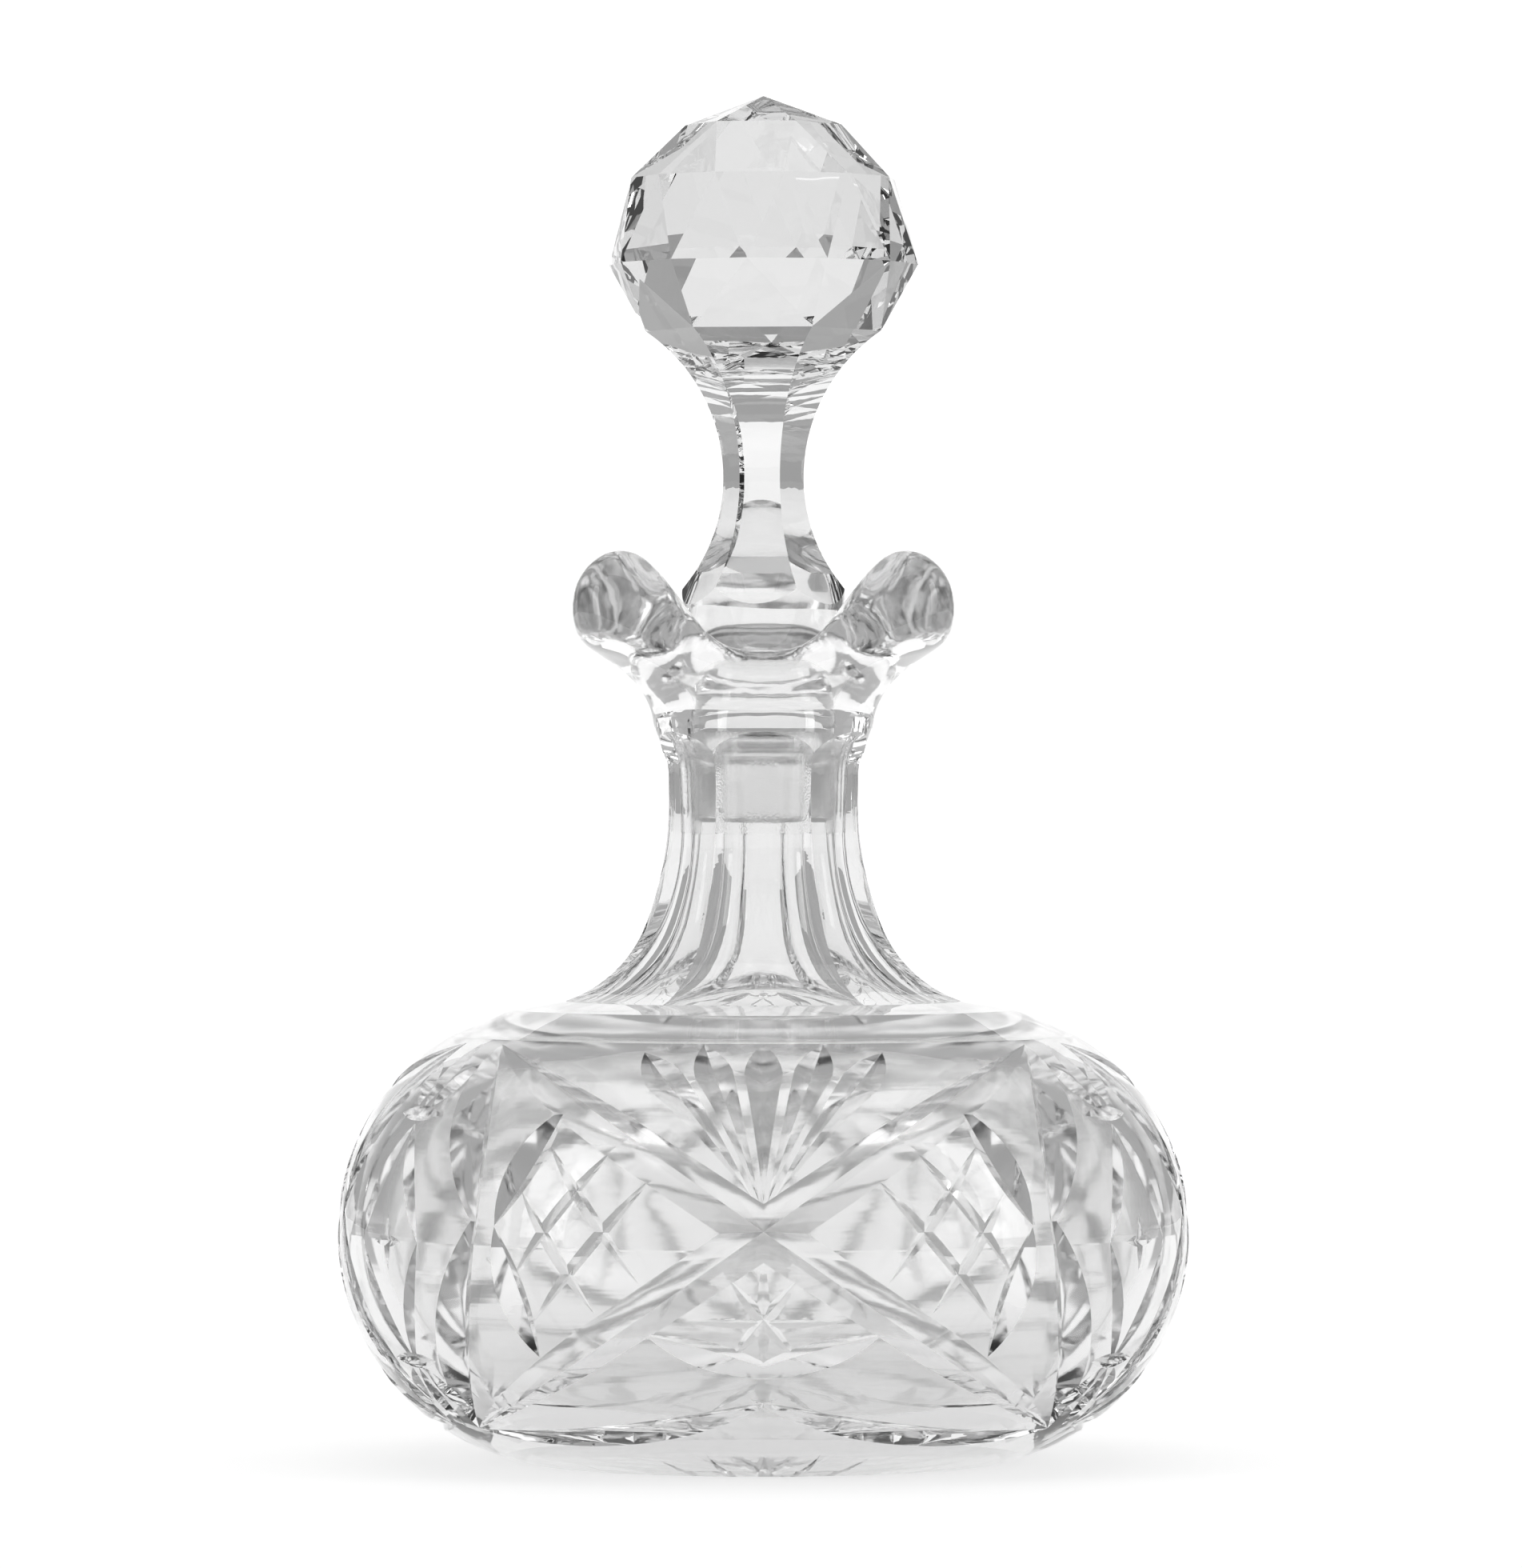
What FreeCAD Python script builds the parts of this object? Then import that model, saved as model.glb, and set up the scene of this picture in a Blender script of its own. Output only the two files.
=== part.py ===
import FreeCAD, Part

import math
import os

import Sketcher
from FreeCAD import Vector

# Wine decanter of heavy clear cut glass: a squat round bottle with a fluted neck and a
# three-lobed pouring lip, closed by a faceted ball stopper with a ground plug.
# The origin is the middle of the base on the surface it stands on, +Z is up and -Y is the
# front. All sizes are millimetres.

SIZES = [
    # bottle, outside
    ("body_radius", 78.1, "radius at the widest part"),
    ("body_middle", 41.75, "height of the widest part"),
    ("foot_radius", 45.4, "radius where the body meets the table"),
    ("shoulder_radius", 57.2, "outer edge of the dished shoulder ring"),
    ("shoulder_height", 77.8, "height of the outer edge of the shoulder ring"),
    ("ring_radius", 46.0, "inner edge of the dished shoulder ring"),
    ("ring_height", 82.5, "height of the inner edge of the shoulder ring"),
    ("flare_radius", 36.3, "radius where the neck begins to rise"),
    ("neck_foot_height", 84.0, "height where the neck begins to rise"),
    ("flare_offset", 26.4, "centre of the neck flare lies this far outside its waist"),
    ("flare_sweep", 23.7, "radius of the flare at the foot of the neck"),
    ("neck_radius", 17.3, "neck at its waist, over the ridges"),
    ("waist_drop", 13.2, "waist of the neck below the lip"),
    ("neck_top_height", 134.0, "height where the lip begins"),
    ("neck_top_flare", 2.63, "neck is wider by this where the lip begins"),
    ("flute_count", 6, "flutes round the neck"),
    ("flute_hollow", 0.35, "hollow of each flute below a flat"),
    # bottle, inside
    ("wall", 8.0, "glass at the widest part"),
    ("floor", 9.0, "glass over the base"),
    ("bore_inset", 0.2, "bore of the neck is this much narrower than the plug"),
    ("bore_rise", 28.0, "straight bore begins this far over the foot of the neck"),
    ("seat_clearance", 0.03, "gap round the ground plug"),
    ("seat_relief", 2.2, "seat goes this far below the plug"),
    # lip
    ("lip_overhang", 0.12, "step of the lip over the top of the neck"),
    ("dip_rise", 15.5, "rise of the lip over the neck between the lobes"),
    ("lobe_rise", 35.0, "rise of the lobes over the neck"),
    ("lobe_reach", 38.3, "distance of the lobes from the axis"),
    ("lobe_sharpness", 2.0, "how narrow the lobes are"),
    ("lip_rake", 0.13, "share by which the back lobe stands higher"),
    # stopper, heights over the top of the neck
    ("plug_radius", 12.3, "plug at its lower end"),
    ("plug_depth", 17.3, "lower end of the plug below the top of the neck"),
    ("plug_slope", 0.063, "growth of the plug radius per unit of height"),
    ("plug_chamfer", 0.8, "chamfer at the lower end of the plug"),
    ("skirt_rise", 28.3, "height where the stem facets end"),
    ("skirt_radius", 12.9, "corners of the stem where its facets end"),
    ("skirt_slope", 0.75, "growth of the skirt facets per unit of drop"),
    ("stem_radius", 7.4, "corners of the stem at its thinnest"),
    ("stem_rise", 46.0, "height of the thinnest part of the stem"),
    ("ball_foot_radius", 21.7, "corners of the ball where the stem begins"),
    ("ball_foot_rise", 72.9, "height where the stem meets the ball"),
    ("girdle_radius", 28.5, "corners of the ball at its widest"),
    ("girdle_rise", 85.0, "height of the widest corners of the ball"),
    ("crown_radius", 24.5, "corners of the middle row of the ball"),
    ("crown_rise", 100.8, "height of the middle row of corners"),
    ("cap_radius", 14.4, "corners of the upper row of the ball"),
    ("cap_rise", 110.7, "height of the upper row of corners"),
    ("stopper_rise", 116.0, "height of the point of the ball"),
    ("stopper_turn", -36.0, "angle of the first stem corner from the front"),
    # cutting
    ("panel_count", 3, "cut panels round the body, with a column between each two"),
    ("mitre_angle", 108.0, "angle of the cutting wheel"),
    ("star_radius", 38.0, "points of the star under the base"),
    ("star_notch", 12.0, "notches of the star under the base"),
    ("star_depth", 2.4, "depth of the star under the base"),
    ("star_points", 24, "points of the star under the base"),
]

# The corners between two flutes leave the neck this far below the lip.
ARCH_DROP = 4.5

doc = FreeCAD.newDocument("Decanter")
sheet = doc.addObject("Spreadsheet::Sheet", "Dimensions")
for row, (alias, value, note) in enumerate(SIZES, start=1):
    sheet.set("A%d" % row, alias)
    sheet.set("B%d" % row, str(value))
    sheet.set("C%d" % row, note)
    sheet.setAlias("B%d" % row, alias)
doc.recompute()


def size(alias):
    """A driving dimension, read from the sheet."""
    return float(getattr(sheet, alias))


def bound(formula):
    """The formula with each alias in it pointed at the sheet."""
    words = formula.split(" ")
    names = [alias for alias, value, note in SIZES]
    return " ".join("Dimensions." + word if word in names else word for word in words)


# ---------------------------------------------------------------- outlines turned on the axis

START, END, CENTRE = 1, 2, 3


class Outline:
    """A closed outline in the XZ plane of a body, tied to the sheet and turned on Z."""

    def __init__(self, label):
        self.body = doc.addObject("PartDesign::Body", label)
        self.sketch = self.body.newObject("Sketcher::SketchObject", label + "_outline")
        plane = [f for f in self.body.Origin.OriginFeatures if f.Role == "XZ_Plane"][0]
        self.sketch.AttachmentSupport = (plane, [""])
        self.sketch.MapMode = "FlatFace"
        self.last = None

    def tie(self, kind, edge, point, formula):
        where = self.sketch.getPoint(edge, point)
        value = where.x if kind == "DistanceX" else where.y
        index = self.sketch.addConstraint(Sketcher.Constraint(kind, -1, 1, edge, point, value))
        self.sketch.setExpression("Constraints[%d]" % index, bound(formula))

    def place(self, edge, point, across=None, up=None):
        if across is not None:
            self.tie("DistanceX", edge, point, across)
        if up is not None:
            self.tie("DistanceY", edge, point, up)

    def radius(self, edge, formula):
        value = self.sketch.Geometry[edge].Radius
        index = self.sketch.addConstraint(Sketcher.Constraint("Radius", edge, value))
        self.sketch.setExpression("Constraints[%d]" % index, bound(formula))

    def join(self, edge, point, other, other_point):
        self.sketch.addConstraint(Sketcher.Constraint("Coincident", edge, point, other, other_point))

    def smooth(self, edge, point, other, other_point):
        self.sketch.addConstraint(Sketcher.Constraint("Tangent", edge, point, other, other_point))

    def line(self, start, end):
        segment = Part.LineSegment(Vector(start[0], start[1], 0), Vector(end[0], end[1], 0))
        return self.sketch.addGeometry(segment, False)

    def arc(self, centre, radius, start, end):
        """Anticlockwise from the angle of one point to the angle of the other."""
        first = math.atan2(start[1] - centre[1], start[0] - centre[0])
        last = math.atan2(end[1] - centre[1], end[0] - centre[0])
        circle = Part.Circle(Vector(centre[0], centre[1], 0), Vector(0, 0, 1), radius)
        return self.sketch.addGeometry(Part.ArcOfCircle(circle, first, last), False)

    def turn(self):
        spin = self.body.newObject("PartDesign::Revolution", self.body.Label + "_turned")
        spin.Profile = self.sketch
        spin.ReferenceAxis = (self.sketch, ["V_Axis"])
        spin.Angle = 360.0
        self.sketch.Visibility = False
        return self.body


def waist_sweep(waist_radius, waist_height, flare_centre, flare_height, flare_sweep):
    """Radius of the arc that leaves the waist upright and runs smoothly into the flare."""
    across = waist_radius - flare_centre
    up = waist_height - flare_height
    return (flare_sweep ** 2 - across ** 2 - up ** 2) / (2 * (across + flare_sweep))


def flare_middle():
    """Distance from the axis to the centre of the neck flare."""
    return size("neck_radius") + size("flare_offset")


def flare_height():
    """Height of the centre of the flare at the foot of the neck."""
    across = flare_middle() - size("flare_radius")
    return size("neck_foot_height") + math.sqrt(size("flare_sweep") ** 2 - across ** 2)


def round_through(across, up):
    """Radius of an arc that starts upright and ends so far across and up."""
    return (across ** 2 + up ** 2) / (2 * across)


def lower_round():
    return round_through(size("body_radius") - size("foot_radius"), size("body_middle"))


def upper_round():
    return round_through(size("body_radius") - size("shoulder_radius"),
                         size("shoulder_height") - size("body_middle"))


def waist_height():
    return size("neck_top_height") - size("waist_drop")


def top_sweep():
    """Radius of the arc that opens the neck from its waist to the lip."""
    return round_through(size("neck_top_flare"), size("waist_drop"))


def bottle_blank():
    """The outside of the bottle up to the lip, before any cutting."""
    middle, widest = size("body_middle"), size("body_radius")
    lower, upper = lower_round(), upper_round()
    foot_centre = (widest - lower, middle)
    foot = (size("foot_radius"), 0)
    body_centre = (widest - upper, middle)
    shoulder = (size("shoulder_radius"), size("shoulder_height"))
    ring = (size("ring_radius"), size("ring_height"))
    flare = (size("flare_radius"), size("neck_foot_height"))
    flare_centre = (flare_middle(), flare_height())
    waist = (size("neck_radius"), waist_height())
    sweep = waist_sweep(waist[0], waist[1], flare_centre[0], flare_centre[1], size("flare_sweep"))
    waist_centre = (waist[0] + sweep, waist[1])
    share = sweep / (sweep - size("flare_sweep"))
    meet = (waist_centre[0] + (flare_centre[0] - waist_centre[0]) * share,
            waist_centre[1] + (flare_centre[1] - waist_centre[1]) * share)
    top_centre = (waist[0] + top_sweep(), waist[1])
    top = (waist[0] + size("neck_top_flare"), size("neck_top_height"))

    outline = Outline("bottle_blank")
    base = outline.line((0, 0), foot)
    low = outline.arc(foot_centre, lower, foot, (widest, middle))
    high = outline.arc(body_centre, upper, (widest, middle), shoulder)
    dish = outline.line(shoulder, ring)
    slope = outline.line(ring, flare)
    rise = outline.arc(flare_centre, size("flare_sweep"), meet, flare)
    waist_arc = outline.arc(waist_centre, sweep, waist, meet)
    top_arc = outline.arc(top_centre, top_sweep(), top, waist)
    cover = outline.line(top, (0, top[1]))
    axis = outline.line((0, top[1]), (0, 0))
    for edge, point, other, other_point in [
            (base, END, low, START), (low, END, high, START), (high, END, dish, START),
            (dish, END, slope, START), (slope, END, rise, END),
            (waist_arc, START, top_arc, END), (top_arc, START, cover, START),
            (cover, END, axis, START), (axis, END, base, START)]:
        outline.join(edge, point, other, other_point)
    outline.place(base, START, "0", "0")
    outline.place(base, END, "foot_radius", "0")
    outline.place(low, CENTRE, None, "body_middle")
    outline.place(low, END, "body_radius", "body_middle")
    outline.place(high, CENTRE, None, "body_middle")
    outline.place(high, END, "shoulder_radius", "shoulder_height")
    outline.place(dish, END, "ring_radius", "ring_height")
    outline.place(slope, END, "flare_radius", "neck_foot_height")
    outline.place(rise, CENTRE, "neck_radius + flare_offset", None)
    outline.radius(rise, "flare_sweep")
    outline.smooth(rise, START, waist_arc, END)
    outline.place(waist_arc, START, "neck_radius", "neck_top_height - waist_drop")
    outline.place(waist_arc, CENTRE, None, "neck_top_height - waist_drop")
    outline.place(top_arc, CENTRE, None, "neck_top_height - waist_drop")
    outline.place(cover, START, "neck_radius + neck_top_flare", "neck_top_height")
    outline.place(cover, END, "0", "neck_top_height")
    return outline.turn()


BORE = "plug_radius - bore_inset"
BORE_FOOT = "neck_foot_height + bore_rise"
UPPER_ROUND = ("( ( body_radius - shoulder_radius ) ^ 2 + ( shoulder_height - body_middle ) ^ 2 )"
               " / ( 2 * ( body_radius - shoulder_radius ) )")


def bottle_hollow():
    """The space inside the bottle: body, bore and the tapered seat of the plug."""
    middle, inner = size("body_middle"), size("body_radius") - size("wall")
    low_round = middle - size("floor")
    high_round = upper_round() - size("wall")
    low_centre = (inner - low_round, middle)
    high_centre = (inner - high_round, middle)
    bore = size("plug_radius") - size("bore_inset")
    bore_up = size("neck_foot_height") + size("bore_rise")
    rise = bore_up - middle
    sweep = (((high_centre[0] - bore) ** 2 + rise ** 2 - high_round ** 2)
             / (2 * (high_round + high_centre[0] - bore)))
    flare_middle = (bore + sweep, bore_up)
    share = high_round / (high_round + sweep)
    meet = (high_centre[0] + (flare_middle[0] - high_centre[0]) * share,
            middle + rise * share)
    relief = size("seat_relief")
    seat_up = size("neck_top_height") - size("plug_depth") - relief
    seat = size("plug_radius") + size("seat_clearance") - relief * size("plug_slope")
    mouth_up = size("neck_top_height") + size("dip_rise")
    mouth = seat + (mouth_up - seat_up) * size("plug_slope")

    outline = Outline("bottle_hollow")
    base = outline.line((0, size("floor")), (low_centre[0], size("floor")))
    low = outline.arc(low_centre, low_round, (low_centre[0], size("floor")), (inner, middle))
    high = outline.arc(high_centre, high_round, (inner, middle), meet)
    flare = outline.arc(flare_middle, sweep, (bore, bore_up), meet)
    tube = outline.line((bore, bore_up), (bore, seat_up))
    step = outline.line((bore, seat_up), (seat, seat_up))
    cone = outline.line((seat, seat_up), (mouth, mouth_up))
    cover = outline.line((mouth, mouth_up), (0, mouth_up))
    axis = outline.line((0, mouth_up), (0, size("floor")))
    for edge, point, other, other_point in [
            (base, END, low, START), (low, END, high, START), (flare, START, tube, START),
            (tube, END, step, START), (step, END, cone, START), (cone, END, cover, START),
            (cover, END, axis, START), (axis, END, base, START)]:
        outline.join(edge, point, other, other_point)
    outline.smooth(high, END, flare, END)
    outline.place(base, START, "0", "floor")
    outline.place(base, END, "body_radius - wall - body_middle + floor", "floor")
    outline.place(low, CENTRE, "body_radius - wall - body_middle + floor", "body_middle")
    outline.place(low, END, None, "body_middle")
    outline.place(high, CENTRE, "body_radius - " + UPPER_ROUND, "body_middle")
    outline.place(flare, START, BORE, BORE_FOOT)
    outline.place(flare, CENTRE, None, BORE_FOOT)
    outline.place(tube, END, BORE, "neck_top_height - plug_depth - seat_relief")
    outline.place(step, END, "plug_radius + seat_clearance - plug_slope * seat_relief",
                  "neck_top_height - plug_depth - seat_relief")
    outline.place(cone, END, "plug_radius + seat_clearance + plug_slope * "
                  "( plug_depth + dip_rise )", "neck_top_height + dip_rise")
    outline.place(cover, END, "0", None)
    outline.place(cover, END, None, "neck_top_height + dip_rise")
    return outline.turn()


# ---------------------------------------------------------------- neck flutes and lip

def polar(radius, degrees, height):
    """A point from its distance to the axis, its angle from the front and its height."""
    angle = math.radians(degrees - 90)
    return Vector(radius * math.cos(angle), radius * math.sin(angle), height)


def neck_at(height):
    """Radius of the turned neck at a height between its foot and the lip."""
    waist, waist_up = size("neck_radius"), waist_height()
    if height > waist_up:
        sweep = top_sweep()
        return waist + sweep - math.sqrt(sweep ** 2 - (height - waist_up) ** 2)
    centre, centre_up, flare = flare_middle(), flare_height(), size("flare_sweep")
    sweep = waist_sweep(waist, waist_up, centre, centre_up, flare)
    meet_up = waist_up + (centre_up - waist_up) * sweep / (sweep - flare)
    if height > meet_up:
        return waist + sweep - math.sqrt(sweep ** 2 - (height - waist_up) ** 2)
    return centre - math.sqrt(flare ** 2 - (height - centre_up) ** 2)


def flute_core():
    """What the flutes leave of the neck: a six-sided column with hollow sides.

    Its corners run up the turned neck and pass outside it below the lip, where each
    flute ends in an arch."""
    foot, top = size("neck_foot_height"), size("neck_top_height")
    arch = top - ARCH_DROP
    count = int(size("flute_count"))
    shares = [0.0, 0.06, 0.14, 0.25, 0.4, 0.55, 0.7, 0.85, 1.0]
    levels = [(foot + (arch - foot) * share, 1.0) for share in shares]
    widest = size("neck_radius") + size("neck_top_flare")
    full = (1.0 + size("flute_hollow") / widest) / math.cos(math.pi / count)
    levels += [(top - ARCH_DROP * 0.45, 1.0 + 0.55 * (full - 1.0)), (top - 0.4, full + 0.01),
               (top + 1.0, full + 0.08)]
    wires = []
    for height, growth in levels:
        corner = neck_at(min(height, top)) * growth
        side = corner * math.cos(math.pi / count) - size("flute_hollow")
        edges = []
        for index in range(count):
            start = 360.0 * (index + 0.5) / count
            edges.append(Part.Arc(polar(corner, start, height),
                                  polar(side, start + 180.0 / count, height),
                                  polar(corner, start + 360.0 / count, height)).toShape())
        wires.append(Part.Wire(edges))
    return Part.makeLoft(wires, True, False)


def flute_waste():
    """What the flutes take off the neck."""
    foot, top = size("neck_foot_height"), size("neck_top_height") + 1.0
    return Part.makeCylinder(size("ring_radius"), top - foot,
                             Vector(0, 0, foot)).cut(flute_core())


def lip():
    """The pressed-out lip: a ring of glass whose rim swells into three lobes.

    One smooth skin runs from the neck over the rim and down the inside. Each pair below is
    the same point of its section between the lobes and in the middle of a lobe, as
    (distance from the neck bore, rise over the neck)."""
    neck = neck_at(size("neck_top_height")) + size("lip_overhang")
    bore = size("plug_radius") - 0.1
    reach, dip, lobe = size("lobe_reach"), size("dip_rise"), size("lobe_rise")
    section = [
        ((neck, 0), (neck, 0)),
        ((neck + 0.3, 0.16 * dip), (neck + 0.4, 0.08 * lobe)),
        ((neck + 1.0, 0.35 * dip), (neck + 2.6, 0.20 * lobe)),
        ((neck + 2.6, 0.50 * dip), (neck + 7.0, 0.34 * lobe)),
        ((neck + 4.3, 0.66 * dip), (reach - 7.0, 0.40 * lobe)),
        ((neck + 4.3, 0.92 * dip), (reach + 1.2, 0.48 * lobe)),
        ((neck + 1.2, 1.06 * dip), (reach + 2.0, 0.84 * lobe)),
        ((neck - 1.6, 1.02 * dip), (reach - 5.5, 1.04 * lobe)),
        ((neck - 3.6, 0.78 * dip), (reach - 14.0, 1.00 * lobe)),
        ((bore + 3.2, 0.56 * dip), (bore + 9.0, 0.70 * lobe)),
        ((bore + 1.9, 0.36 * dip), (bore + 4.6, 0.38 * lobe)),
        ((bore + 0.7, 0.18 * dip), (bore + 1.4, 0.16 * lobe)),
        ((bore, 0), (bore, 0)),
    ]
    count = 36
    swell = 3.0 / (2.0 + math.cos(2 * math.pi / count))
    rows = []
    for index in range(count):
        turn = 360.0 * index / count
        wave = (1 - math.cos(math.radians(3 * turn))) / 2
        share = wave ** size("lobe_sharpness")
        rake = 1 - size("lip_rake") * math.cos(math.radians(turn))
        row = []
        for low, high in section:
            radius = low[0] + (high[0] - low[0]) * share
            rise = (low[1] + (high[1] - low[1]) * share) * rake
            row.append(polar(radius * swell, turn, size("neck_top_height") + rise))
        rows.append(row)
    skin = Part.BSplineSurface()
    spans = len(section) - 3
    skin.buildFromPolesMultsKnots(rows, [1] * (count + 1), [4] + [1] * (spans - 1) + [4],
                                  list(range(count + 1)), list(range(spans + 1)),
                                  True, False, 3, 3)
    face = skin.toShape()
    level = size("neck_top_height") + 0.01
    rims = [Part.Wire([edge]) for edge in face.Edges if edge.BoundBox.ZMax < level]
    rims.sort(key=lambda wire: -wire.BoundBox.DiagonalLength)
    shell = Part.Shell([face, Part.Face(rims)])
    solid = Part.Solid(shell)
    solid.fix(1e-5, 1e-5, 1e-4)
    return solid


# ---------------------------------------------------------------- cutting

def body_at(height):
    """Radius of the body at a height."""
    middle = size("body_middle")
    sweep = lower_round() if height < middle else upper_round()
    across = sweep ** 2 - (height - middle) ** 2
    return size("body_radius") - sweep + math.sqrt(max(across, 0.0))


def depth_under(point):
    """How far a point lies under the rounded side of the body, and the way out."""
    sweep = lower_round() if point.z < size("body_middle") else upper_round()
    centre_radius = size("body_radius") - sweep
    across = math.hypot(point.x, point.y)
    centre = Vector(point.x / across * centre_radius, point.y / across * centre_radius,
                    size("body_middle"))
    out = point - centre
    return sweep - out.Length, out.normalize()


def onto_body(point, way):
    """The point of the body's side that lies out along a line, found from outside."""
    point = point + way * (1.5 * size("body_radius"))
    for step in range(40):
        depth, out = depth_under(point)
        point = point + way * (depth / max(out.dot(way), 0.3))
    return point


def groove(start, end, stations):
    """A mitre cut across the body between two spots, as the solid that the wheel removes.

    A spot is an angle from the front and a height from the widest part. The stations give
    the depth of the cut at shares of its length, and an arc runs through each three."""
    lift = size("body_middle")
    first, last = [polar(body_at(up + lift), turn, up + lift) for turn, up in (start, end)]
    turn, up = (start[0] + end[0]) / 2, (start[1] + end[1]) / 2 + lift
    way = depth_under(polar(body_at(up), turn, up))[1]
    side = (last - first).cross(way).normalize()
    way = side.cross(last - first).normalize()
    bottom = []
    for share, depth in stations:
        spot = onto_body(first + (last - first) * share, way)
        out = depth_under(spot)[1]
        out = (out - side * out.dot(side)).normalize()
        bottom.append(spot - out * depth)
    deepest = max(depth for share, depth in stations)
    reach = deepest + WHEEL_MARGIN
    spread = reach * math.tan(math.radians(size("mitre_angle") / 2))
    pieces = []
    for index in range(0, len(stations) - 2, 2):
        one, two, three = bottom[index:index + 3]
        circle = Part.Arc(one, two, three).toShape().Curve
        centre, axis, sweep = circle.Center, circle.Axis, circle.Radius
        radial = (two - centre).normalize()
        outward = 1 if radial.dot(depth_under(two)[1]) > 0 else -1
        top = two + radial * outward * reach
        section = Part.Face(Part.makePolygon([two, top + axis * spread, top - axis * spread,
                                              two]))
        turns = []
        for spot in (one, three):
            arm = spot - centre
            turns.append(math.degrees(math.atan2(axis.dot(radial.cross(arm)), radial.dot(arm))))
        low, high = min(turns), max(turns)
        run_out = math.degrees(min(RUN_OUT / sweep, 0.09))
        overlap = math.degrees(JOIN_OVERLAP / sweep)
        at_start = run_out if index == 0 else overlap
        at_end = run_out if index + 3 == len(stations) else overlap
        if turns[0] > turns[1]:
            at_start, at_end = at_end, at_start
        section.rotate(centre, axis, low - at_start)
        pieces.append(section.revolve(centre, axis, high - low + at_start + at_end))
    return pieces


# The wheel reaches this far over the surface, a cut runs out this far past its ends, and two
# arcs of one cut overlap by the last.
WHEEL_MARGIN = 1.5
RUN_OUT = 4.0
JOIN_OVERLAP = 0.05


def leaf(depth, deepest=0.5):
    """A cut that is pointed at both ends."""
    return [(0.0, 0.0), (deepest, depth), (1.0, 0.0)]


BAND = [(0.0, 0.0), (0.1, 1.8), (0.22, 2.9), (0.5, 3.3), (0.78, 2.9), (0.9, 1.8), (1.0, 0.0)]
PETAL = [(0.0, 0.0), (0.12, 1.9), (0.25, 2.5), (0.6, 1.3), (1.0, 0.0)]

# Each row is a start and an end, as (angle, height from the widest part), and the depths.
PANEL_MIDDLE = [
    ((0, 36), (0, 9), PETAL),
    ((-11, -12.3), (11, -12.3), leaf(0.7)),
    ((0, -1.3), (0, -20.8), leaf(0.9)),
]
PANEL_SIDES = [
    ((-53.5, 35.3), (56, -33.8), BAND),
    ((10.6, 35.9), (0.6, 9), PETAL),
    ((20.7, 34.5), (1.2, 9), PETAL),
    ((4.4, -4.8), (-4.6, -19), leaf(1.0)),
    ((16, -14.8), (-3, -21.9), leaf(2.2)),
    ((56, -33.8), (-2, -26.3), leaf(2.2)),
    ((20.8, 18), (34.5, -4.6), leaf(0.85)),
    ((14.8, 13.3), (32.3, -13), leaf(0.85)),
    ((30.7, 18.3), (16.5, -5.6), leaf(0.85)),
    ((33.9, 10.3), (23, -11), leaf(0.85)),
    ((30, 25), (37.8, 4), leaf(2.4)),
    ((37.8, 3.8), (32.7, -19.3), leaf(2.4)),
    ((53.5, 35.3), (41, 3.2), leaf(3.6)),
    ((41, 6.2), (56, -33.8), leaf(3.2)),
]
COLUMN_MIDDLE = [
    ((-6, 22.8), (6, 22.8), leaf(1.2)),
    ((-6, -21.3), (6, -21.3), leaf(1.2)),
    ((0, 35.3), (0, 24.2), leaf(1.7, 0.4)),
    ((0, -33.6), (0, -22.8), leaf(1.5, 0.4)),
    ((0, 5), (0, -5), leaf(0.8)),
    ((-3.6, 0.2), (3.6, 0.2), leaf(0.8)),
]
COLUMN_SIDES = [
    ((7.5, 0.2), (0, 21.2), leaf(1.3)),
    ((7.5, 0.2), (0, -22.2), leaf(1.3)),
    ((6.5, 31.9), (2, 24.2), leaf(1.7, 0.4)),
    ((6.5, -30.6), (2, -22.8), leaf(1.5, 0.4)),
]


def cuts(mirrored):
    """The cuts of the body that lean one way, or their mirror images."""
    share = 360.0 / int(size("panel_count"))
    sector = []
    for middle, sides, turn in ((PANEL_MIDDLE, PANEL_SIDES, 0.0),
                                (COLUMN_MIDDLE, COLUMN_SIDES, share / 2)):
        hand = -1 if mirrored else 1
        for start, end, depths in sides if mirrored else middle + sides:
            sector.extend(groove((turn + hand * start[0], start[1]),
                                 (turn + hand * end[0], end[1]), depths))
    pieces = []
    for index in range(int(size("panel_count"))):
        for piece in sector:
            copy = piece.copy()
            copy.rotate(Vector(0, 0, 0), Vector(0, 0, 1), share * index)
            pieces.append(copy)
    return pieces


def base_star():
    """The star under the base, as a many-pointed pyramid."""
    count, depth = int(size("star_points")), size("star_depth")
    apex = Vector(0, 0, depth)
    below = (depth + 1.0) / depth
    rim = []
    for index in range(count):
        rim.append(polar(size("star_radius") * below, 360.0 * index / count, -1.0))
        rim.append(polar(size("star_notch") * below, 360.0 * (index + 0.5) / count, -1.0))
    faces = [Part.Face(Part.makePolygon([apex, rim[i - 1], rim[i], apex]))
             for i in range(len(rim))]
    faces.append(Part.Face(Part.makePolygon(rim + [rim[0]])))
    return Part.Solid(Part.makeShell(faces))


# ---------------------------------------------------------------- stopper

SIDES = 6


def over_neck(alias):
    """Height of a level of the stopper."""
    return size("neck_top_height") + size(alias)


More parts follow.
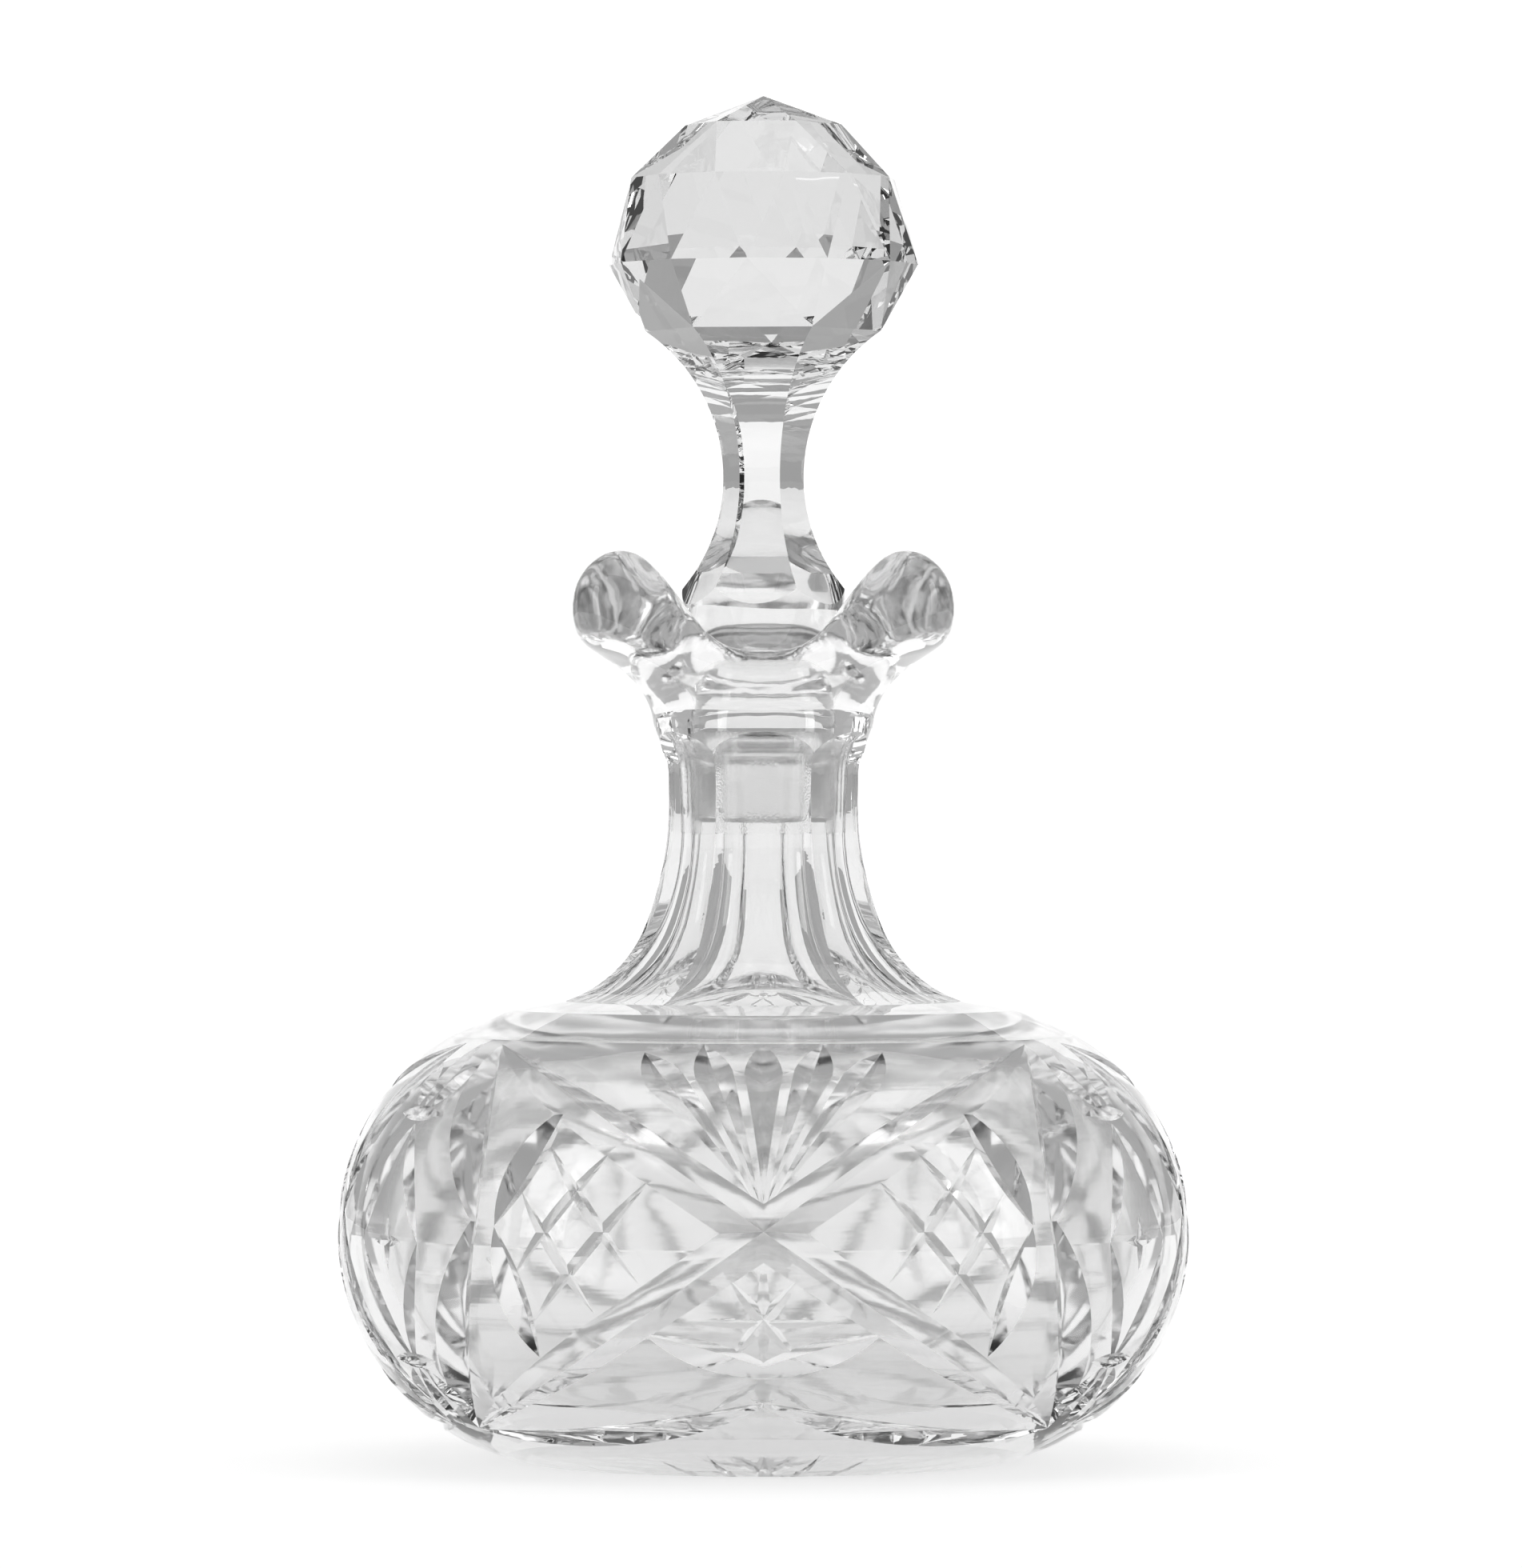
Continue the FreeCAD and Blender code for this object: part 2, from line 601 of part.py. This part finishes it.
def plug():
    """The ground plug, turned with its chamfer, up to where the stem facets end."""
    bottom, chamfer = size("neck_top_height") - size("plug_depth"), size("plug_chamfer")
    foot, slope = size("plug_radius"), size("plug_slope")
    top = over_neck("skirt_rise")
    points = [(0, bottom), (foot - chamfer, bottom), (foot + slope * chamfer, bottom + chamfer),
              (foot + slope * (top - bottom), top), (0, top)]
    outline = Outline("plug_turned")
    edges = [outline.line(points[i], points[(i + 1) % len(points)]) for i in range(len(points))]
    for index, edge in enumerate(edges):
        outline.join(edge, END, edges[(index + 1) % len(edges)], START)
    outline.place(edges[0], START, "0", "neck_top_height - plug_depth")
    outline.place(edges[0], END, "plug_radius - plug_chamfer", "neck_top_height - plug_depth")
    outline.place(edges[1], END, "plug_radius + plug_slope * plug_chamfer",
                  "neck_top_height - plug_depth + plug_chamfer")
    outline.place(edges[2], END, "plug_radius + plug_slope * ( plug_depth + skirt_rise )",
                  "neck_top_height + skirt_rise")
    outline.place(edges[3], END, "0", "neck_top_height + skirt_rise")
    return outline.turn()


def row(radius, height, first, count):
    """Corners of one level of the stopper, counted round from an angle."""
    return [polar(radius, size("stopper_turn") + first + 360.0 * i / count, height)
            for i in range(count)]


def closed(points):
    return Part.makePolygon(points + [points[0]])


def skirt_waste():
    """What the six sloping facets at the foot of the stem take off the plug."""
    top = over_neck("skirt_rise")
    widest = size("plug_radius") + size("plug_slope") * (size("plug_depth") + size("skirt_rise"))
    drop = ((widest + 1.0) / math.cos(math.pi / SIDES) - size("skirt_radius")) / size("skirt_slope")
    growth = size("skirt_slope") * drop
    core = Part.makeLoft([closed(row(size("skirt_radius") + growth, top - drop, 0, SIDES)),
                          closed(row(size("skirt_radius"), top, 0, SIDES))], True, True)
    ring = Part.makeCylinder(widest + 2.0, drop, Vector(0, 0, top - drop))
    return ring.cut(core)


def stem():
    """The six-sided stem: its corners follow one arc up to the ball and one down."""
    thin, thin_up = size("stem_radius"), over_neck("stem_rise")
    foot_drop = thin_up - over_neck("skirt_rise")
    ball_lift = over_neck("ball_foot_rise") - thin_up
    down = round_through(size("skirt_radius") - thin, foot_drop)
    up = round_through(size("ball_foot_radius") - thin, ball_lift)
    wires = []
    for share in (-1.0, -0.8, -0.55, -0.3, 0.0, 0.2, 0.4, 0.6, 0.75, 0.88, 1.0):
        sweep = down if share < 0 else up
        away = share * (foot_drop if share < 0 else ball_lift)
        corner = thin + sweep - math.sqrt(sweep ** 2 - away ** 2)
        wires.append(closed(row(corner, thin_up + away, 0, SIDES)))
    return Part.makeLoft(wires, True, False)


def ball():
    """The faceted ball: rows of corners joined by flat facets."""
    step = 360.0 / SIDES
    foot = row(size("ball_foot_radius"), over_neck("ball_foot_rise"), 0, SIDES)
    girdle = row(size("girdle_radius"), over_neck("girdle_rise"), 0, 2 * SIDES)
    crown = row(size("crown_radius"), over_neck("crown_rise"), -step / 4, 2 * SIDES)
    cap = row(size("cap_radius"), over_neck("cap_rise"), 0, SIDES)
    point = Vector(0, 0, over_neck("stopper_rise"))
    faces = [foot[::-1]]
    for i in range(SIDES):
        j, here = (i + 1) % SIDES, 2 * i
        faces += [[point, cap[i], cap[j]],
                  [cap[i], crown[here], crown[here + 1]],
                  [cap[i], crown[here + 1], crown[(here + 2) % (2 * SIDES)], cap[j]],
                  [foot[i], girdle[here], girdle[here - 1]],
                  [foot[i], girdle[here + 1], girdle[here]],
                  [foot[i], foot[j], girdle[here + 1]]]
    for i in range(2 * SIDES):
        j = (i + 1) % (2 * SIDES)
        faces += [[crown[i], girdle[i], crown[j]], [crown[j], girdle[i], girdle[j]]]
    return Part.Solid(Part.makeShell([Part.Face(closed(face)) for face in faces]))


# ---------------------------------------------------------------- assembly

def coded(label, shape):
    feature = doc.addObject("Part::Feature", label)
    feature.Shape = shape
    return feature


def cut_away(label, base, tool):
    result = doc.addObject("Part::Cut", label)
    result.Base, result.Tool = base, tool
    return result


def fused(label, shapes):
    result = doc.addObject("Part::MultiFuse", label)
    result.Shapes = shapes
    return result


blank = bottle_blank()
hollow = bottle_hollow()
turned_plug = plug()
doc.recompute()

cut_once = blank.Shape.cut(cuts(False) + [base_star(), flute_waste()])
cut_body = coded("cut_body", cut_once.cut(cuts(True)))
solid_bottle = fused("solid_bottle", [cut_body, coded("lip", lip())])
decanter = cut_away("decanter", solid_bottle, hollow)

skirted_plug = cut_away("skirted_plug", turned_plug, coded("skirt_waste", skirt_waste()))
stopper = fused("stopper", [skirted_plug, coded("stem", stem()), coded("ball", ball())])
doc.recompute()

# ---------------------------------------------------------------- checks and export

for item in doc.Objects:
    for state in ("Invalid", "Error"):
        if state in item.State:
            raise RuntimeError("%s is %s" % (item.Label, state))
for item in (decanter, stopper):
    if item.Shape.isNull() or not item.Shape.isValid() or len(item.Shape.Solids) != 1:
        raise RuntimeError("%s has no valid single solid" % item.Label)

os.makedirs("parts", exist_ok=True)
for item in (decanter, stopper):
    item.Shape.exportStep("parts/%s.step" % item.Label)
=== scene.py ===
import math

import bpy
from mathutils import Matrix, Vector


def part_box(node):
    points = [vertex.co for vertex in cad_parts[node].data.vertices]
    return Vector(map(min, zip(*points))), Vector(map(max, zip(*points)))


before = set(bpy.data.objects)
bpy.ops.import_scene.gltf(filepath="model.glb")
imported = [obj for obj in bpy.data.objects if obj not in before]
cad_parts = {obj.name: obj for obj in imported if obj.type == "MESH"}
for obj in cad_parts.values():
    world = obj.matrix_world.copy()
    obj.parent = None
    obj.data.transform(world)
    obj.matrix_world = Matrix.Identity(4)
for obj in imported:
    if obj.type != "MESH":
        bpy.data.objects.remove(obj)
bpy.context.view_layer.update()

# ---------------------------------------------------------------- node helpers
# Short names for building materials. Every texture uses Object coordinates, in metres.


class Shader:
    """A material's node tree with one Principled shader."""

    def __init__(self, name):
        self.material = bpy.data.materials.new(name)
        self.material.use_nodes = True
        self.tree = self.material.node_tree
        self.tree.nodes.clear()
        self.output = self.add("ShaderNodeOutputMaterial")
        self.surface = self.add("ShaderNodeBsdfPrincipled")
        self.link(self.surface.outputs["BSDF"], self.output.inputs["Surface"])
        self.place = self.add("ShaderNodeTexCoord").outputs["Object"]

    def add(self, kind, **settings):
        node = self.tree.nodes.new(kind)
        for name, value in settings.items():
            setattr(node, name, value)
        return node

    def link(self, source, target):
        self.tree.links.new(source, target)

    def set(self, name, value):
        self.surface.inputs[name].default_value = value

    def feed(self, source, name):
        self.link(source, self.surface.inputs[name])

    def maths(self, operation, first, second=None, clamp=False):
        node = self.add("ShaderNodeMath", operation=operation, use_clamp=clamp)
        for socket, value in zip(node.inputs, (first, second)):
            if value is None:
                continue
            if isinstance(value, (int, float)):
                socket.default_value = value
            else:
                self.link(value, socket)
        return node.outputs[0]

    def noise(self, scale, detail=3.0, roughness=0.5, distortion=0.0):
        """Noise over Object coordinates stretched by a scale for each axis."""
        stretch = self.add("ShaderNodeMapping")
        stretch.inputs["Scale"].default_value = scale
        self.link(self.place, stretch.inputs["Vector"])
        noise = self.add("ShaderNodeTexNoise")
        noise.inputs["Scale"].default_value = 1.0
        noise.inputs["Detail"].default_value = detail
        noise.inputs["Roughness"].default_value = roughness
        noise.inputs["Distortion"].default_value = distortion
        self.link(stretch.outputs["Vector"], noise.inputs["Vector"])
        return noise.outputs["Fac"]

    def range(self, value, low, high, to_low=0.0, to_high=1.0):
        node = self.add("ShaderNodeMapRange", interpolation_type="SMOOTHSTEP")
        for name, number in (("From Min", low), ("From Max", high),
                             ("To Min", to_low), ("To Max", to_high)):
            node.inputs[name].default_value = number
        self.link(value, node.inputs["Value"])
        return node.outputs["Result"]

    def bump(self, height, strength, distance, normal=None):
        node = self.add("ShaderNodeBump")
        node.inputs["Strength"].default_value = strength
        node.inputs["Distance"].default_value = distance
        self.link(height, node.inputs["Height"])
        if normal is not None:
            self.link(normal, node.inputs["Normal"])
        return node.outputs["Normal"]


def height_and_radius(shader):
    """Height over the base and distance from the axis."""
    split = shader.add("ShaderNodeSeparateXYZ")
    shader.link(shader.place, split.inputs["Vector"])
    across = shader.maths("POWER", split.outputs["X"], 2.0)
    deep = shader.maths("POWER", split.outputs["Y"], 2.0)
    radius = shader.maths("SQRT", shader.maths("ADD", across, deep))
    return split.outputs["Z"], radius


def crystal(name):
    """Colourless lead crystal: the shader common to both pieces."""
    shader = Shader(name)
    shader.set("Transmission Weight", 1.0)
    shader.set("IOR", 1.545)
    shader.set("Roughness", 0.0)
    return shader


# ---------------------------------------------------------------- decanter
# The bottle keeps its CAD shape. Its glass has the faint level streaks of a blown wall, a
# slow waviness, a ground seat in the neck and a scuffed ring where it stands. Its glass colour
# carries painted shade: darker in the thick foot than in the wall, and lighter at the thin lip.

PLUG_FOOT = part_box("stopper")[0][2]
GROUND_TOP = 0.1345
GROUND_RADIUS = 0.0152
# The inner wall of the body lies inside this round tube, or inside this core.
TUBE_RADIUS, TUBE_HEIGHT, INSIDE_TUBE, CORE_RADIUS = 0.0369, 0.04175, 0.0355, 0.038
INSIDE_HAZE, FOOT_HAZE, LIP_HAZE = 0.11, 0.02, 0.08

glass = crystal("cut_crystal")
up, radius = height_and_radius(glass)
# Painted shade in the glass colour: darker through the thick foot, and lighter again at the
# thin lip.
painted_foot_shade = glass.range(up, 0.006, 0.030, 0.82, 0.90)
painted_shade_tint = glass.maths("ADD", painted_foot_shade, glass.range(up, 0.128, 0.140, 0.0, 0.07))
glass.feed(painted_shade_tint, "Base Color")
in_neck = glass.maths("MULTIPLY", glass.range(up, PLUG_FOOT - 0.0022, PLUG_FOOT - 0.0018),
                      glass.range(up, GROUND_TOP - 0.0004, GROUND_TOP, 1.0, 0.0))
seat = glass.maths("MULTIPLY", in_neck,
                   glass.range(radius, GROUND_RADIUS - 0.0002, GROUND_RADIUS, 1.0, 0.0))
scuffs = glass.range(glass.noise((900, 900, 900), 4.0), 0.45, 0.7)
foot = glass.maths("MULTIPLY", glass.range(up, 0.0002, 0.0012, 1.0, 0.0), scuffs)
tube = glass.maths("SQRT", glass.maths(
    "ADD", glass.maths("POWER", glass.maths("SUBTRACT", radius, TUBE_RADIUS), 2.0),
    glass.maths("POWER", glass.maths("SUBTRACT", up, TUBE_HEIGHT), 2.0)))
wall_inside = glass.range(tube, INSIDE_TUBE, INSIDE_TUBE + 0.0004, 1.0, 0.0)
core = glass.maths("MULTIPLY", glass.range(radius, CORE_RADIUS, CORE_RADIUS + 0.0004, 1.0, 0.0),
                   glass.maths("MULTIPLY", glass.range(up, 0.006, 0.0064),
                               glass.range(up, 0.079, 0.0794, 1.0, 0.0)))
inside = glass.maths("MAXIMUM", wall_inside, core)
rough = glass.maths("MAXIMUM", glass.maths("MULTIPLY", seat, 0.14),
                    glass.maths("MULTIPLY", foot, 0.25))
haze = glass.range(up, 0.012, 0.026, FOOT_HAZE, INSIDE_HAZE)
rough = glass.maths("MAXIMUM", rough, glass.maths("MULTIPLY", inside, haze))
pressed = glass.range(up, 0.137, 0.145, 0.0, LIP_HAZE)
rough = glass.maths("MAXIMUM", rough, pressed)
glass.feed(rough, "Roughness")
streaks = glass.bump(glass.noise((22, 22, 420), 2.0), 0.35, 0.00006)
waves = glass.bump(glass.noise((55, 55, 38), 1.5), 0.5, 0.00035, streaks)
grain = glass.bump(glass.maths("MULTIPLY", glass.noise((2600, 2600, 2600), 2.0), seat),
                   0.5, 0.00012, waves)
glass.feed(grain, "Normal")

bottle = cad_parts["decanter"]
for index in range(len(bottle.material_slots)):
    bottle.material_slots[index].material = glass.material

# ---------------------------------------------------------------- stopper
# One solid piece: a ground plug up to the top of the neck, and clear polished facets above,
# with the very slight unevenness of hand polishing. Its glass colour carries painted shade,
# darker in the thick ball than in the slim stem.

solid = crystal("stopper_crystal")
up, radius = height_and_radius(solid)
# Painted shade in the glass colour: darker in the thick ball above than in the stem and plug.
solid.feed(solid.range(up, 0.185, 0.210, 0.84, 0.71), "Base Color")
ground = solid.range(up, GROUND_TOP - 0.0004, GROUND_TOP, 1.0, 0.0)
solid.feed(solid.maths("MULTIPLY", ground, 0.14), "Roughness")
polish = solid.bump(solid.noise((60, 60, 60), 1.5), 0.3, 0.00008)
grain = solid.bump(solid.maths("MULTIPLY", solid.noise((2600, 2600, 2600), 2.0), ground),
                   0.5, 0.00012, polish)
solid.feed(grain, "Normal")

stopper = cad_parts["stopper"]
for index in range(len(stopper.material_slots)):
    stopper.material_slots[index].material = solid.material

# ---------------------------------------------------------------- floor and backdrop
# A round white floor, and a narrow white wall behind that curves up from it. The wall is
# little wider than the view, so the glass shows the dimmer room at its edges.

FLOOR_RADIUS, FLOOR_SIDES = 3.0, 96
WALL_WIDTH, WALL_BACK, WALL_BEND, WALL_TOP, WALL_FOOT = 0.95, 1.0, 0.3, 0.62, 0.0005

paper = Shader("white_paper")
paper.set("Base Color", (0.55, 0.55, 0.55, 1.0))
paper.set("Roughness", 0.85)
paper.set("Specular IOR Level", 0.1)
paper.set("Emission Color", (1.0, 1.0, 1.0, 1.0))
paper.set("Emission Strength", 0.66)
paper.feed(paper.bump(paper.noise((500, 500, 500), 3.0), 0.1, 0.0001), "Normal")


def stage(name, corners, faces):
    mesh = bpy.data.meshes.new(name)
    mesh.from_pydata(corners, [], faces)
    mesh.shade_smooth()
    mesh.materials.append(paper.material)
    thing = bpy.data.objects.new(name, mesh)
    bpy.context.scene.collection.objects.link(thing)


ring = [2 * math.pi * i / FLOOR_SIDES for i in range(FLOOR_SIDES)]
stage("floor", [(FLOOR_RADIUS * math.cos(a), FLOOR_RADIUS * math.sin(a), 0.0) for a in ring],
      [list(range(FLOOR_SIDES))])
bend = [math.radians(a) for a in range(0, 91, 6)]
profile = [(WALL_BACK - WALL_BEND + WALL_BEND * math.sin(a),
            WALL_FOOT + WALL_BEND - WALL_BEND * math.cos(a)) for a in bend]
profile.append((WALL_BACK, WALL_TOP))
stage("wall", [(side * WALL_WIDTH / 2, y, z) for y, z in profile for side in (-1, 1)],
      [(2 * i, 2 * i + 1, 2 * i + 3, 2 * i + 2) for i in range(len(profile) - 1)])

# ---------------------------------------------------------------- light
# Soft studio light: a dim grey room, a broad box overhead and a tall one at each side.

world = bpy.data.worlds.new("room")
bpy.context.scene.world = world
world.use_nodes = True
world.node_tree.nodes["Background"].inputs["Color"].default_value = (0.5, 0.5, 0.5, 1.0)
world.node_tree.nodes["Background"].inputs["Strength"].default_value = 0.8


def softbox(name, place, aim, width, height, power):
    lamp = bpy.data.lights.new(name, "AREA")
    lamp.shape = "RECTANGLE"
    lamp.size, lamp.size_y = width, height
    lamp.energy = power
    holder = bpy.data.objects.new(name, lamp)
    bpy.context.scene.collection.objects.link(holder)
    holder.location = place
    direction = holder.location.copy()
    direction.negate()
    direction.x += aim[0]
    direction.y += aim[1]
    direction.z += aim[2]
    holder.rotation_euler = direction.to_track_quat("-Z", "Y").to_euler()
    return holder


softbox("overhead", (0.0, 0.1, 1.5), (0, 0, 0), 1.4, 1.2, 4.4)
softbox("left_box", (-1.2, -0.7, 0.6), (0, 0, 0.12), 0.35, 1.1, 3.2)
softbox("right_box", (1.2, -0.5, 0.6), (0, 0, 0.12), 0.35, 1.1, 3.2)

# ---------------------------------------------------------------- camera
# Level with the neck, straight in front, from far enough to keep the upright lines true.

CAMERA_DISTANCE, CAMERA_HEIGHT, AIM_HEIGHT, CAMERA_ASIDE = 1.8, 0.130, 0.1238, -0.00044
FRAME_HEIGHT, SENSOR = 0.2877, 36.0

camera_data = bpy.data.cameras.new("camera")
camera_data.sensor_width = SENSOR
camera_data.lens = SENSOR * CAMERA_DISTANCE / FRAME_HEIGHT
camera_data.clip_end = 20.0
camera = bpy.data.objects.new("camera", camera_data)
bpy.context.scene.collection.objects.link(camera)
camera.location = (CAMERA_ASIDE, -CAMERA_DISTANCE, CAMERA_HEIGHT)
drop = math.atan2(CAMERA_HEIGHT - AIM_HEIGHT, CAMERA_DISTANCE)
camera.rotation_euler = (math.radians(90.0) - drop, 0.0, 0.0)
bpy.context.scene.camera = camera

bpy.context.scene.view_settings.view_transform = "Standard"
cycles = bpy.context.scene.cycles
cycles.max_bounces = 24
cycles.transmission_bounces = 24
cycles.glossy_bounces = 8
